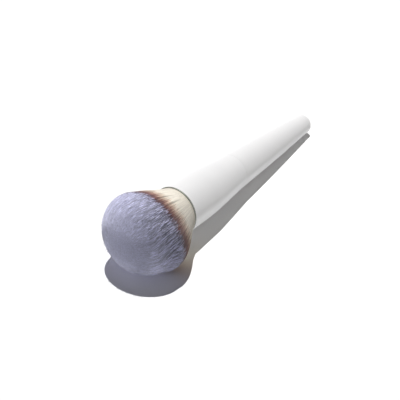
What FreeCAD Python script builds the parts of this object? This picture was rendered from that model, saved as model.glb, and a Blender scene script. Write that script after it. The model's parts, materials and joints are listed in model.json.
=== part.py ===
import FreeCAD, Part
import math
import os
import Sketcher

# Buffing brush, lying on its side.
#
# The brush is drawn along its own axis, X, from the tip of the tuft at X = 0 to the end of the handle.
# The hard pieces are turned, spun or cast round, so each is half an outline above that axis, revolved.
# The tuft is built from flat faces that show its locks of fibres. One placement then lays all the pieces
# down on Z = 0, where the soft tuft has a small pressed flat and the rounded end of the handle touches.
# The origin is under the middle of the lying brush.

SIZES = {
    # The whole brush
    "overall_length": 164.4,
    "rest_flat_depth": 0.4,        # how far the brush's weight presses the tuft flat where it lies
    # Tuft of fibres
    "tuft_reach": 36.9,            # from the mouth of the ferrule to the tip
    "tuft_diameter": 36.6,
    "tuft_widest_at": 14.3,        # from the tip
    "tuft_spread": 3.3,            # how far the lower sides of the flank spread under its weight
    "mouth_gap": 0.55,             # between the fibres and the wall of the ferrule
    "lock_count": 36.0,            # partings between the locks of fibres
    "lock_depth": 0.25,            # of a parting at the widest part of the tuft
    # Ferrule
    "ferrule_diameter": 22.9,
    "ferrule_narrowing": 4.3,      # how much narrower the ferrule is where it meets the handle
    "ferrule_length": 46.9,
    "ferrule_straight": 20.5,      # from the mouth to the start of the cone
    "ferrule_wall": 0.5,
    "lip_bevel": 0.2,
    # Resin plug
    "plug_setback": 2.0,           # from the back of the plug to the start of the cone
    "plug_thickness": 5.0,
    "plug_grip": 6.0,              # how far the resin climbs round the bundle
    "glue_film": 0.05,
    # Handle
    "handle_step": 0.1,            # how far the handle stands proud of the ferrule
    "edge_break": 0.3,             # bevel on the front edge of the handle
    "handle_bend_at": 27.0,        # from the joint to where the taper grows steeper
    "handle_bend_diameter": 16.85,
    "handle_end_diameter": 11.3,   # where the rounding of the end begins
    "end_flatness": 0.95,          # how much larger the radius of the domed end is than the end's own
    "end_edge_radius": 2.0,
    "tenon_length": 18.0,
    "tenon_clearance": 0.1,
    "tenon_bevel": 1.0,
    "groove_count": 3.0,           # glue grooves round the tenon
    "groove_depth": 0.4,
    "groove_width": 1.2,
    "groove_pitch": 4.5,
    "groove_inset": 3.0,
    # Ring of glue round the tenon
    "glue_setback": 5.0,           # from the back of the ferrule
    "glue_length": 9.0,
}

doc = FreeCAD.newDocument("buffing_brush")
sheet = doc.addObject("Spreadsheet::Sheet", "Sizes")
for row, (name, value) in enumerate(SIZES.items(), start=1):
    sheet.set("A%d" % row, name)
    sheet.set("B%d" % row, str(value))
    sheet.setAlias("B%d" % row, name)
lying = doc.addObject("App::VarSet", "Lying")
doc.recompute()

# Stations along the axis, and radii, worked out from the sizes
TUFT_RADIUS = "(Sizes.tuft_diameter / 2)"
MOUTH = "Sizes.tuft_reach"
CONE_START = "(Sizes.tuft_reach + Sizes.ferrule_straight)"
JOINT = "(Sizes.tuft_reach + Sizes.ferrule_length)"
FERRULE_RADIUS = "(Sizes.ferrule_diameter / 2)"
REAR_RADIUS = "((Sizes.ferrule_diameter - Sizes.ferrule_narrowing) / 2)"
BORE = "(Sizes.ferrule_diameter / 2 - Sizes.ferrule_wall)"
REAR_BORE = f"({REAR_RADIUS} - Sizes.ferrule_wall)"
BORE_SLOPE = "(Sizes.ferrule_narrowing / 2 / (Sizes.ferrule_length - Sizes.ferrule_straight))"
ROOT_RADIUS = f"({BORE} - Sizes.mouth_gap)"
PLUG_BACK = f"({CONE_START} - Sizes.plug_setback)"
ROOT_END = f"({PLUG_BACK} - Sizes.plug_thickness)"
TENON_RADIUS = f"({REAR_BORE} - Sizes.tenon_clearance)"
TENON_NOSE = f"({JOINT} - Sizes.tenon_length)"
HANDLE_FRONT = f"({REAR_RADIUS} + Sizes.handle_step)"
ON_AXIS = "0"


def amount(expression):
    """The number that an expression gives with the sheet as it is."""
    return float(lying.evalExpression(expression))


def new_body(label):
    body = doc.addObject("PartDesign::Body", label)
    body.Label = label
    return body


def new_sketch(body, name):
    """A sketch on the lengthwise plane of a body: along the axis, and out from it."""
    sketch = body.newObject("Sketcher::SketchObject", name)
    plane = [feature for feature in body.Origin.OriginFeatures if feature.Role == "XZ_Plane"][0]
    sketch.AttachmentSupport = [(plane, "")]
    sketch.MapMode = "FlatFace"
    return sketch


def drive(sketch, kind, references, expression):
    """A dimension whose size comes from an expression."""
    index = sketch.addConstraint(Sketcher.Constraint(kind, *references, amount(expression)))
    sketch.setExpression(f"Constraints[{index}]", expression)


def measure(sketch, kind, references, value, name):
    """A dimension that only reads what the rest of the sketch fixes, under a name."""
    index = sketch.addConstraint(Sketcher.Constraint(kind, *references, value))
    sketch.setDriving(index, False)
    sketch.renameConstraint(index, name)


def hold(sketch, edge, end, corner):
    """Hold one end of an edge at a corner, which is its station and its radius."""
    station, radius = corner
    drive(sketch, "DistanceX", (-1, 1, edge, end), station)
    if radius == ON_AXIS:
        sketch.addConstraint(Sketcher.Constraint("PointOnObject", edge, end, -1))
    else:
        drive(sketch, "DistanceY", (-1, 1, edge, end), radius)


def draw_edges(sketch, corners):
    """Straight edges from corner to corner. Gives the numbers of the edges."""
    points = [FreeCAD.Vector(amount(station), amount(radius), 0) for station, radius in corners]
    edges = []
    for start, finish in zip(points, points[1:]):
        edges.append(sketch.addGeometry(Part.LineSegment(start, finish)))
    for edge, corner in zip(edges, corners):
        hold(sketch, edge, 1, corner)
    for edge, following in zip(edges, edges[1:]):
        sketch.addConstraint(Sketcher.Constraint("Coincident", edge, 2, following, 1))
    return edges


def draw_outline(sketch, corners):
    """A closed outline of straight edges."""
    edges = draw_edges(sketch, corners + corners[:1])
    sketch.addConstraint(Sketcher.Constraint("Coincident", edges[-1], 2, edges[0], 1))


def revolve(body, sketch, name):
    turn = body.newObject("PartDesign::Revolution", name)
    turn.Profile = sketch
    turn.ReferenceAxis = (sketch, ["H_Axis"])
    turn.Angle = 360
    body.Tip = turn
    return turn


def arc_between(centre, radius, first, last):
    """An arc, anticlockwise from the first angle to the last, in radians."""
    circle = Part.Circle(FreeCAD.Vector(centre[0], centre[1], 0), FreeCAD.Vector(0, 0, 1), radius)
    return Part.ArcOfCircle(circle, first, last)


def meet(sketch, first, first_end, second, second_end):
    """Join two edges end to end, smoothly."""
    sketch.addConstraint(Sketcher.Constraint("Tangent", first, first_end, second, second_end))


# Tuft of fibres: half an ellipsoid in front of its widest ring, and behind it a flank that runs in to the
# mouth of the ferrule. The flank is straight on top. Below, the weight of the brush spreads the fibres
# to both sides, so the flank is fuller there. Each section across the tuft is a ring of locks of fibres:
# ridges on the outline, and partings inside it by the same share all the way. The root below the mouth
# goes down to the resin.
DOME_STEPS = 10
FLANK_STEPS = 6
SPREAD_AT_BOTTOM = 0.4     # share of the spread that is left under the middle of the tuft
SPREAD_PEAK = 0.62         # what spread_share would give at its highest, if it weren't divided by this
widest = amount(TUFT_RADIUS)
widest_at = amount("Sizes.tuft_widest_at")
mouth = amount(MOUTH)
root_radius = amount(ROOT_RADIUS)
lock_count = int(amount("Sizes.lock_count"))
parting_share = 1 - amount("Sizes.lock_depth") / widest


def spread_share(turn):
    """Share of the spread at an angle from the bottom: most at the lower sides, none on top."""
    sides = SPREAD_AT_BOTTOM * SPREAD_PEAK + (1 - SPREAD_AT_BOTTOM * SPREAD_PEAK) * math.sin(turn) ** 2
    return sides * (1 + math.cos(turn)) / 2 / SPREAD_PEAK


def lock_section(station, radius, spread):
    """The corners of a section across the tuft, from a ridge at the very bottom."""
    corners = []
    for number in range(2 * lock_count):
        turn = math.pi * number / lock_count
        reach = radius + spread * spread_share(turn)
        if number % 2 == 1:
            reach *= parting_share
        corners.append(FreeCAD.Vector(station, reach * math.sin(turn), -reach * math.cos(turn)))
    return corners


def flat_face(*corners):
    return Part.Face(Part.makePolygon(corners + corners[:1]))


def bands(sections):
    """Faces from each section to the next. Two to a side, because the sides of the flank are twisted."""
    faces = []
    for front, back in zip(sections, sections[1:]):
        for number in range(2 * lock_count):
            faces.append(flat_face(front[number - 1], front[number], back[number]))
            faces.append(flat_face(front[number - 1], back[number], back[number - 1]))
    return faces


sections = []
for step in range(1, DOME_STEPS + 1):
    turn = math.pi / 2 * step / DOME_STEPS
    sections.append(lock_section(widest_at * (1 - math.cos(turn)), widest * math.sin(turn), 0))
for step in range(1, FLANK_STEPS + 1):
    share = step / FLANK_STEPS
    sections.append(lock_section(
        widest_at + (mouth - widest_at) * share,
        widest + (root_radius - widest) * share,
        amount("Sizes.tuft_spread") * math.sin(math.pi * share)))
sections.append(lock_section(amount(ROOT_END), root_radius, 0))
fibres = doc.addObject("Part::Feature", "fibres")
fibres.Shape = Part.Solid(Part.Shell([flat_face(*sections[0]), flat_face(*sections[-1])] + bands(sections)))

# Ferrule: thin tube, straight in front and spun down to a cone behind, with a bevelled outer lip.
ferrule = new_body("ferrule")
ferrule_outline = new_sketch(ferrule, "ferrule_outline")
draw_outline(ferrule_outline, [
    (MOUTH, BORE), (MOUTH, f"{FERRULE_RADIUS} - Sizes.lip_bevel"),
    (f"{MOUTH} + Sizes.lip_bevel", FERRULE_RADIUS), (CONE_START, FERRULE_RADIUS),
    (JOINT, REAR_RADIUS), (JOINT, REAR_BORE), (CONE_START, BORE)])
revolve(ferrule, ferrule_outline, "tube")

# Resin plug: a shallow cup that the root of the bundle is cast into, against the ferrule's bore.
resin_plug = new_body("resin_plug")
plug_outline = new_sketch(resin_plug, "plug_outline")
draw_outline(plug_outline, [
    (ROOT_END, ON_AXIS), (ROOT_END, f"{ROOT_RADIUS} + Sizes.glue_film"),
    (f"{ROOT_END} - Sizes.plug_grip", f"{ROOT_RADIUS} + Sizes.glue_film"),
    (f"{ROOT_END} - Sizes.plug_grip", f"{BORE} - Sizes.glue_film"),
    (PLUG_BACK, f"{BORE} - Sizes.glue_film"), (PLUG_BACK, ON_AXIS)])
revolve(resin_plug, plug_outline, "plug_cast")

# Handle: a tenon with a bevelled nose, a shoulder that meets the back of the ferrule, a long side whose
# taper grows steeper, a rounded edge and a domed end.
handle = new_body("handle")
handle_outline = new_sketch(handle, "handle_outline")
side_bend = (f"{JOINT} + Sizes.handle_bend_at", "Sizes.handle_bend_diameter / 2")
END_RADIUS = "(Sizes.handle_end_diameter / 2)"
DOME_RADIUS = f"({END_RADIUS} + Sizes.end_flatness)"
front_edges = draw_edges(handle_outline, [
    ("Sizes.overall_length", ON_AXIS), (TENON_NOSE, ON_AXIS),
    (TENON_NOSE, f"{TENON_RADIUS} - Sizes.tenon_bevel"),
    (f"{TENON_NOSE} + Sizes.tenon_bevel", TENON_RADIUS), (JOINT, TENON_RADIUS),
    (JOINT, f"{HANDLE_FRONT} - Sizes.edge_break"),
    (f"{JOINT} + Sizes.edge_break", HANDLE_FRONT), side_bend])
hold(handle_outline, front_edges[-1], 2, side_bend)

edge_radius = amount("Sizes.end_edge_radius")
end_radius = amount(END_RADIUS)
dome_radius = amount(DOME_RADIUS)
dome_centre = (amount("Sizes.overall_length") - dome_radius, 0)
edge_rise = end_radius - edge_radius
edge_centre = (dome_centre[0] + math.sqrt((dome_radius - edge_radius) ** 2 - edge_rise ** 2), edge_rise)
dome_turn = math.atan2(edge_centre[1], edge_centre[0] - dome_centre[0])
bend = FreeCAD.Vector(amount(side_bend[0]), amount(side_bend[1]), 0)
side_end = FreeCAD.Vector(edge_centre[0], end_radius, 0)

side = handle_outline.addGeometry(Part.LineSegment(bend, side_end))
edge = handle_outline.addGeometry(arc_between(edge_centre, edge_radius, dome_turn, math.pi / 2))
dome = handle_outline.addGeometry(arc_between(dome_centre, dome_radius, 0, dome_turn))
handle_outline.addConstraint(Sketcher.Constraint("Coincident", side, 1, front_edges[-1], 2))
meet(handle_outline, side, 2, edge, 2)
meet(handle_outline, edge, 1, dome, 2)
handle_outline.addConstraint(Sketcher.Constraint("Coincident", dome, 1, front_edges[0], 1))
handle_outline.addConstraint(Sketcher.Constraint("PointOnObject", dome, 3, -1))
drive(handle_outline, "Radius", (edge,), "Sizes.end_edge_radius")
drive(handle_outline, "Radius", (dome,), DOME_RADIUS)
drive(handle_outline, "DistanceY", (-1, 1, side, 2), END_RADIUS)
measure(handle_outline, "DistanceX", (-1, 1, edge, 3), edge_centre[0], "edge_station")
measure(handle_outline, "DistanceY", (-1, 1, edge, 3), edge_centre[1], "edge_rise")
revolve(handle, handle_outline, "handle_turned")

groove_outline = new_sketch(handle, "groove_outline")
groove_back = f"({JOINT} - Sizes.groove_inset)"
groove_front = f"({JOINT} - Sizes.groove_inset - Sizes.groove_width)"
groove_floor = f"{TENON_RADIUS} - Sizes.groove_depth"
groove_top = f"{TENON_RADIUS} + Sizes.groove_depth"
draw_outline(groove_outline, [
    (groove_front, groove_floor), (groove_front, groove_top),
    (groove_back, groove_top), (groove_back, groove_floor)])
doc.recompute()
glue_groove = handle.newObject("PartDesign::Groove", "glue_groove")
glue_groove.Profile = groove_outline
glue_groove.ReferenceAxis = (groove_outline, ["H_Axis"])
glue_groove.Angle = 360
groove_row = handle.newObject("PartDesign::LinearPattern", "groove_row")
groove_row.Originals = [glue_groove]
groove_row.Direction = (groove_outline, ["H_Axis"])
groove_row.Reversed = True
groove_row.setExpression("Occurrences", "Sizes.groove_count")
groove_row.setExpression("Length", "Sizes.groove_pitch * (Sizes.groove_count - 1)")
handle.Tip = groove_row

# Ring of glue that fills the widening space between the tenon and the ferrule's cone.
tenon_glue = new_body("tenon_glue")
glue_outline = new_sketch(tenon_glue, "glue_outline")
GLUE_BACK = f"({JOINT} - Sizes.glue_setback)"
GLUE_FRONT = f"({GLUE_BACK} - Sizes.glue_length)"


def glue_outside(setback):
    """The ring's outer radius where it is so far in front of the back of the ferrule."""
    return f"{REAR_BORE} + {BORE_SLOPE} * ({setback}) - Sizes.glue_film"


draw_outline(glue_outline, [
    (GLUE_BACK, f"{TENON_RADIUS} + Sizes.glue_film"), (GLUE_BACK, glue_outside("Sizes.glue_setback")),
    (GLUE_FRONT, glue_outside("Sizes.glue_setback + Sizes.glue_length")),
    (GLUE_FRONT, f"{TENON_RADIUS} + Sizes.glue_film")])
revolve(tenon_glue, glue_outline, "glue_ring")

# How the brush lies: tilted until the widest ring of the tuft, pressed flat, and the rounded edge of the
# handle's end reach Z = 0, with the middle of its length over the origin.
EDGE_STATION = "handle_outline.Constraints.edge_station / 1 mm"
EDGE_RISE = "handle_outline.Constraints.edge_rise / 1 mm"
SPAN = f"({EDGE_STATION} - Sizes.tuft_widest_at)"
DROP = f"({TUFT_RADIUS} - {EDGE_RISE})"
lying.addProperty("App::PropertyAngle", "Tilt", "Lying", "Dip of the axis towards the handle's end")
lying.addProperty("App::PropertyDistance", "Lift", "Lying", "Height of the tip of the tuft")
lying.addProperty("App::PropertyDistance", "Shift", "Lying", "Place of the tip of the tuft along X")
lying.setExpression("Tilt", f"atan({DROP} / {SPAN})"
                            f" - asin((Sizes.rest_flat_depth + Sizes.end_edge_radius)"
                            f" / sqrt({SPAN}^2 + {DROP}^2))")
lying.setExpression("Lift", f"{TUFT_RADIUS} * cos(Tilt) - Sizes.rest_flat_depth"
                            f" + Sizes.tuft_widest_at * sin(Tilt)")
TIP_REACH = f"sqrt((Sizes.tuft_widest_at * cos(Tilt))^2 + ({TUFT_RADIUS} * sin(Tilt))^2)"
lying.setExpression("Shift", f"({TIP_REACH} - Sizes.tuft_widest_at * cos(Tilt)"
                             f" - (Sizes.overall_length - {DOME_RADIUS}) * cos(Tilt) - {DOME_RADIUS}) / 2")
doc.recompute()
for body in (fibres, ferrule, resin_plug, tenon_glue, handle):
    body.Placement = FreeCAD.Placement(FreeCAD.Vector(), FreeCAD.Rotation(FreeCAD.Vector(0, 1, 0), 5))
    body.setExpression("Placement.Rotation.Angle", "Lying.Tilt")
    body.setExpression("Placement.Base.x", "Lying.Shift")
    body.setExpression("Placement.Base.z", "Lying.Lift")

# The tuft is soft, so the surface that it lies on presses a small flat on it.
surface = doc.addObject("Part::Box", "surface")
surface.setExpression("Length", "Sizes.overall_length")
surface.setExpression("Width", "Sizes.tuft_diameter")
surface.setExpression("Height", "Sizes.tuft_diameter")
surface.setExpression("Placement.Base.x", "-Sizes.overall_length / 2")
surface.setExpression("Placement.Base.y", "-Sizes.tuft_diameter / 2")
surface.setExpression("Placement.Base.z", "-Sizes.tuft_diameter")
bristle_tuft = doc.addObject("Part::Cut", "bristle_tuft")
bristle_tuft.Label = "bristle_tuft"
bristle_tuft.Base = fibres
bristle_tuft.Tool = surface
doc.recompute()

for thing in doc.Objects:
    if "Invalid" in thing.State or "Error" in thing.State:
        raise RuntimeError(f"{thing.Label} did not build: {thing.State}")

pieces = (bristle_tuft, resin_plug, ferrule, tenon_glue, handle)
for piece in pieces:
    if piece.Shape.isNull() or not piece.Shape.isValid():
        raise RuntimeError(f"{piece.Label} has no valid shape")

os.makedirs("parts", exist_ok=True)
for piece in pieces:
    piece.Shape.exportStep(f"parts/{piece.Label}.step")
    box = piece.Shape.optimalBoundingBox()
    print(f"{piece.Label}: {len(piece.Shape.Solids)} solid, {piece.Shape.Volume:.1f} mm3,"
          f" X {box.XMin:.3f} to {box.XMax:.3f}, Z {box.ZMin:.3f} to {box.ZMax:.3f}")
print(f"tilt {lying.Tilt}, lift {lying.Lift}, shift {lying.Shift}")
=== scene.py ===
# %% [markdown]
# # A buffing brush on a white table
#
# The brush is a dense, dome-headed make-up brush that lies on its side. Its solids come packed as a fixed
# frame: the tuft of fibres, the ferrule that grips it, the handle, and two hidden bits of resin and glue.
#
# The solids say where everything is and how large it is. This scene gives the brush its looks: smooth
# lacquered metal and wood, and a tuft of real fibres. Everything here is in metres.

# %% Load the frame
import json
import math

import bpy
import numpy as np
from mathutils import Matrix, Vector
from mathutils.kdtree import KDTree


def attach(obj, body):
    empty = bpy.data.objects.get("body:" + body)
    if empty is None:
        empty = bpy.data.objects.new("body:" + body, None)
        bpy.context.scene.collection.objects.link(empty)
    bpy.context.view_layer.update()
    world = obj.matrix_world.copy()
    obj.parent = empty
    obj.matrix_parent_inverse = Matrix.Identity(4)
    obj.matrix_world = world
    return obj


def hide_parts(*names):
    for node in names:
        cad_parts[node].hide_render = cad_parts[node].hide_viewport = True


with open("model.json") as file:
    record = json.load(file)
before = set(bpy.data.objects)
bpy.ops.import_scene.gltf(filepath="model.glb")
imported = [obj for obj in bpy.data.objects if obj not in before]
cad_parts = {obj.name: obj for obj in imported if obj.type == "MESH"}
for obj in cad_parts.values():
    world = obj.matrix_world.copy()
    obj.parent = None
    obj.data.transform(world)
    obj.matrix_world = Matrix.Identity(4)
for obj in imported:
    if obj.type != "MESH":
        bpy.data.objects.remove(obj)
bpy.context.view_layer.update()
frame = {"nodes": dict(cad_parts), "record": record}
print("solids:", sorted(frame["nodes"]))

# %% [markdown]
# ## Finding the brush's own axis
#
# Every piece of the brush is round about one line, but the line isn't level: the head is fat and the
# handle thin, so the brush dips towards the end of its handle. It is much easier to model each piece
# straight along X, as it would sit in a lathe, and to lay it down afterwards.
#
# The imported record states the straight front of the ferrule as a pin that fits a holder, with its middle
# and its direction. That gives the axis. A point's station is then its distance along the axis from the
# tip of the tuft, and its radius is its distance out from the axis.

# %% The axis, and measuring along it
MM = 0.001
CLOSE = 0.01 * MM    # what lies this near to a plane or a radius counts as on it

seat = [mount for mount in frame["record"]["mounts"] if mount["name"] == "holder_seat"][0]
along = Vector(seat["axis"]).normalized()
across = Vector((0, 1, 0))
upward = along.cross(across)
seat_point = Vector(seat["pos_m"])


def measured(node):
    """Stations and radii of all the corners of a solid, with stations still from the seat's middle."""
    corners = np.array([corner.co for corner in frame["nodes"][node].data.vertices])
    offsets = corners - np.array(seat_point)
    stations = offsets @ np.array(along)
    radii = np.linalg.norm(offsets - np.outer(stations, along), axis=1)
    return stations, radii


# %% Stations that the solids share
TUFT_REACH = 36.9 * MM    # from the ferrule's mouth to the tip of the tuft

ferrule_stations, ferrule_radii = measured("ferrule")
tip_station = ferrule_stations.min() - TUFT_REACH
ferrule_stations -= tip_station
MOUTH = ferrule_stations.min()
JOINT = ferrule_stations.max()
FERRULE_RADIUS = ferrule_radii.max()
CONE_START = ferrule_stations[ferrule_radii > FERRULE_RADIUS - CLOSE].max()
rear_radii = ferrule_radii[ferrule_stations > JOINT - CLOSE]
REAR_RADIUS = rear_radii.max()
WALL = REAR_RADIUS - rear_radii.min()
END = measured("handle")[0].max() - tip_station
print("mouth, cone, joint and end, mm:", [round(s / MM, 2) for s in (MOUTH, CONE_START, JOINT, END)])
print("ferrule radii and wall, mm:", [round(r / MM, 2) for r in (FERRULE_RADIUS, REAR_RADIUS, WALL)])

tip = seat_point + along * tip_station
lie_down = Matrix.Translation(tip) @ Matrix((along, across, upward)).transposed().to_4x4()
print("dip towards the handle's end, degrees:", round(math.degrees(math.asin(-along.z)), 2))

# %% [markdown]
# ## Turning a round piece
#
# Ferrules are spun and handles are turned, so both are one outline swept round an axis. In Blender a
# screw modifier or a spin would do it, but the plainest way is the one a hand would take: start from a
# circle, extrude it to the next station, scale the new ring to its radius, and go on. Each ring stays
# a clean loop of edges, which shades smoothly.
#
# A ring that shrinks to nothing leaves a pinched pole, so its corners are merged into one.

# %% A lathe made of extrusions
SIDES = 96
PINCHED = 0.001 * MM         # radius of a ring that shrinks to nothing
MERGE_WITHIN = 0.003 * MM


def only(piece):
    """Make one object the only selected one."""
    bpy.ops.object.select_all(action="DESELECT")
    piece.select_set(True)
    bpy.context.view_layer.objects.active = piece


def extrude_rings(name, rings, sides, fill_type="NOTHING"):
    """A ring extruded along X through (place, radius) rings. It is left in edit mode."""
    place, radius = rings[0]
    bpy.ops.object.select_all(action="DESELECT")
    bpy.ops.mesh.primitive_circle_add(
        vertices=sides, radius=radius, fill_type=fill_type, location=(place, 0, 0),
        rotation=(0, math.radians(90), 0))
    piece = bpy.context.object
    piece.name = name
    piece.data.name = name
    bpy.ops.object.transform_apply()
    bpy.ops.object.mode_set(mode="EDIT")
    bpy.ops.mesh.select_all(action="SELECT")
    for next_place, next_radius in rings[1:]:
        scale = next_radius / radius
        bpy.ops.mesh.extrude_region_move(TRANSFORM_OT_translate={"value": (next_place - place, 0, 0)})
        bpy.ops.transform.resize(value=(1, scale, scale), center_override=(next_place, 0, 0))
        place, radius = next_place, next_radius
    return piece


def turn(name, outline):
    """A piece turned along X from an outline of (station, radius) points."""
    outline = [(station, max(radius, PINCHED)) for station, radius in outline]
    piece = extrude_rings(name, outline, SIDES)
    bpy.ops.mesh.select_all(action="SELECT")
    bpy.ops.mesh.remove_doubles(threshold=MERGE_WITHIN)
    bpy.ops.mesh.normals_make_consistent(inside=False)
    bpy.ops.object.mode_set(mode="OBJECT")
    print(name, "has", len(piece.data.polygons), "faces")
    return piece


def rounded(first, corner, last, size, steps=5):
    """Points that round a corner of an outline, starting a given distance before it."""
    first, corner, last = (Vector(point) for point in (first, corner, last))
    start = corner + (first - corner).normalized() * size
    end = corner + (last - corner).normalized() * size
    points = []
    for step in range(steps + 1):
        share = step / steps
        points.append(tuple(start.lerp(corner, share).lerp(corner.lerp(end, share), share)))
    return points


def lay_down(piece):
    """Lay a piece on the table with the rest of the brush, with its place in its mesh."""
    piece.matrix_world = lie_down
    only(piece)
    bpy.ops.object.transform_apply()


# %% [markdown]
# ## The ferrule
#
# The ferrule is a thin tube, straight in front and drawn down to a cone behind. A press forms it, so its
# lip is soft and its shoulder has no sharp edge. It is one closed skin: along the outside, over the lip,
# and back along the inside. It is lacquered outside, and bare inside and on the lip.

# %% Turn the ferrule
LIP = 0.22 * MM           # rounding of the lip
BARE_RIM = 0.5 * MM       # how far behind the lip the lacquer stops
SHOULDER_ROUND = 3 * MM

bore = FERRULE_RADIUS - WALL
back_out = (JOINT, REAR_RADIUS)
shoulder_out = (CONE_START, FERRULE_RADIUS)
lip_out = (MOUTH, FERRULE_RADIUS)
lip_in = (MOUTH, bore)
shoulder_in = (CONE_START, bore)
back_in = (JOINT, REAR_RADIUS - WALL)
ferrule_outline = [back_out]
ferrule_outline += rounded(back_out, shoulder_out, lip_out, SHOULDER_ROUND)
ferrule_outline += [(MOUTH + BARE_RIM, FERRULE_RADIUS)]
ferrule_outline += rounded(shoulder_out, lip_out, lip_in, LIP)
ferrule_outline += rounded(lip_out, lip_in, shoulder_in, LIP)
ferrule_outline += [shoulder_in, back_in, back_out]
ferrule_tube = turn("ferrule_tube", ferrule_outline)

# %% [markdown]
# ## The handle
#
# The handle is turned from wood. A tenon goes up inside the ferrule, and a small shoulder stops it at the
# ferrule's back edge: from outside only a fine line shows there. The long side has a faint belly, and the
# end is domed. Lacquer softens every edge.
#
# The two straight tapers of the solid are eased into one long curve by rounding the corner between them
# over a good length, which is what a turner's tool does without trying.

# %% Turn the handle
TENON_NOSE = JOINT - 18 * MM
TENON_RADIUS = 8.7 * MM
TENON_BEVEL = 1 * MM
HANDLE_STEP = 0.02 * MM     # how far the handle stands proud of the ferrule
BELLY = (JOINT + 27 * MM, 8.425 * MM)
SIDE_END = (END - 3.7 * MM, 5.65 * MM)
DOME_RADIUS = 6.6 * MM
END_EDGE = 2 * MM           # rounding between the side and the domed end
EDGE_SETBACK = 0.11 * MM    # from the end of the side back to the middle of that rounding
EDGE_START = 86             # degrees from the axis at which it leaves the tapered side
FRONT_EDGE = 0.12 * MM
BELLY_ROUND = 24 * MM
SHARP = math.radians(35)    # edges steeper than this stay sharp


def arc(centre, radius, first, last, steps):
    """Outline points along an arc, between two angles in degrees from the way back along the axis."""
    points = []
    for step in range(steps + 1):
        angle = math.radians(first + (last - first) * step / steps)
        points.append((centre[0] + radius * math.cos(angle), centre[1] + radius * math.sin(angle)))
    return points


front_corner = (JOINT, REAR_RADIUS + HANDLE_STEP)
tenon_root = (JOINT, TENON_RADIUS)
dome_centre = (END - DOME_RADIUS, 0)
edge_centre = (SIDE_END[0] - EDGE_SETBACK, SIDE_END[1] - END_EDGE)
dome_turn = math.degrees(math.atan2(edge_centre[1], edge_centre[0] - dome_centre[0]))
handle_outline = [(TENON_NOSE, 0), (TENON_NOSE, TENON_RADIUS - TENON_BEVEL)]
handle_outline += [(TENON_NOSE + TENON_BEVEL, TENON_RADIUS), tenon_root]
handle_outline += rounded(tenon_root, front_corner, BELLY, FRONT_EDGE)
handle_outline += rounded(front_corner, BELLY, SIDE_END, BELLY_ROUND, steps=8)
handle_outline += arc(edge_centre, END_EDGE, EDGE_START, dome_turn, steps=6)
handle_outline += arc(dome_centre, DOME_RADIUS, dome_turn, 0, steps=9)[1:]
handle_turned = turn("handle_turned", handle_outline)

# %% Smooth, lay down and place both
for piece, node in ((ferrule_tube, "ferrule"), (handle_turned, "handle")):
    lay_down(piece)
    only(piece)
    bpy.ops.object.shade_smooth_by_angle(angle=SHARP)
    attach(piece, "root")
    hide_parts(node)

# %% [markdown]
# ## Lacquer
#
# White lacquer on a brush is sprayed and baked: a satin sheen, not a mirror. Close up it is never quite
# flat. It has a very fine orange peel, and its tone and sheen vary a little. Both are procedural: noise
# in object coordinates, because they belong to the surface and to nothing else.
#
# A material is built by small helpers that add nodes and set their inputs, so that each finish reads as a
# short list of steps.

# %% Helpers for materials
def new_material(name):
    """An empty node material. Gives the material, its nodes and its links."""
    material = bpy.data.materials.new(name)
    material.use_nodes = True
    return material, material.node_tree.nodes, material.node_tree.links


def adjust(node, **settings):
    """Set inputs of a node by their names, or attributes of the node itself."""
    for key, value in settings.items():
        if hasattr(node, key):
            setattr(node, key, value)
        else:
            node.inputs[key.replace("_", " ")].default_value = value
    return node


def add(nodes, kind, **settings):
    """A new node with its settings."""
    return adjust(nodes.new(kind), **settings)


def ramp(nodes, stops):
    """A colour ramp with the given (place, colour) stops."""
    node = nodes.new("ShaderNodeValToRGB")
    elements = node.color_ramp.elements
    elements[0].position, elements[0].color = stops[0][0], (*stops[0][1], 1)
    elements[1].position, elements[1].color = stops[-1][0], (*stops[-1][1], 1)
    for place, colour in stops[1:-1]:
        element = elements.new(place)
        element.color = (*colour, 1)
    return node


def object_noise(nodes, links, scale, detail):
    """Noise in object coordinates."""
    place = nodes.new("ShaderNodeTexCoord")
    noise = add(nodes, "ShaderNodeTexNoise", Scale=scale, Detail=detail)
    links.new(place.outputs["Object"], noise.inputs["Vector"])
    return noise.outputs["Fac"]


def tint_by(nodes, links, noise, stops):
    """Colour the surface by a noise, through a ramp."""
    tint = ramp(nodes, stops)
    links.new(noise, tint.inputs["Fac"])
    links.new(tint.outputs["Color"], nodes["Principled BSDF"].inputs["Base Color"])


def roughen_by(nodes, links, noise, least, most):
    """Let the roughness of the surface follow a noise."""
    rough = add(nodes, "ShaderNodeMapRange", To_Min=least, To_Max=most)
    links.new(noise, rough.inputs["Value"])
    links.new(rough.outputs["Result"], nodes["Principled BSDF"].inputs["Roughness"])


# %% White satin lacquer
def lacquer(name, colour, shade):
    """White lacquer: slightly uneven in tone and sheen, with a fine orange peel."""
    material, nodes, links = new_material(name)
    tone = object_noise(nodes, links, scale=90, detail=3)
    tint_by(nodes, links, tone, [(0.3, shade), (0.7, colour)])
    roughen_by(nodes, links, tone, least=0.34, most=0.44)
    peel = object_noise(nodes, links, scale=1600, detail=1)
    bump = add(nodes, "ShaderNodeBump", Strength=0.06, Distance=0.02 * MM)
    links.new(peel, bump.inputs["Height"])
    links.new(bump.outputs["Normal"], nodes["Principled BSDF"].inputs["Normal"])
    adjust(nodes["Principled BSDF"], Specular_IOR_Level=0.35)
    return material


handle_lacquer = lacquer("handle_lacquer", (0.885, 0.878, 0.883), (0.87, 0.865, 0.872))
ferrule_lacquer = lacquer("ferrule_lacquer", (0.885, 0.88, 0.885), (0.865, 0.862, 0.87))
handle_turned.data.materials.append(handle_lacquer)
ferrule_tube.data.materials.append(ferrule_lacquer)

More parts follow.
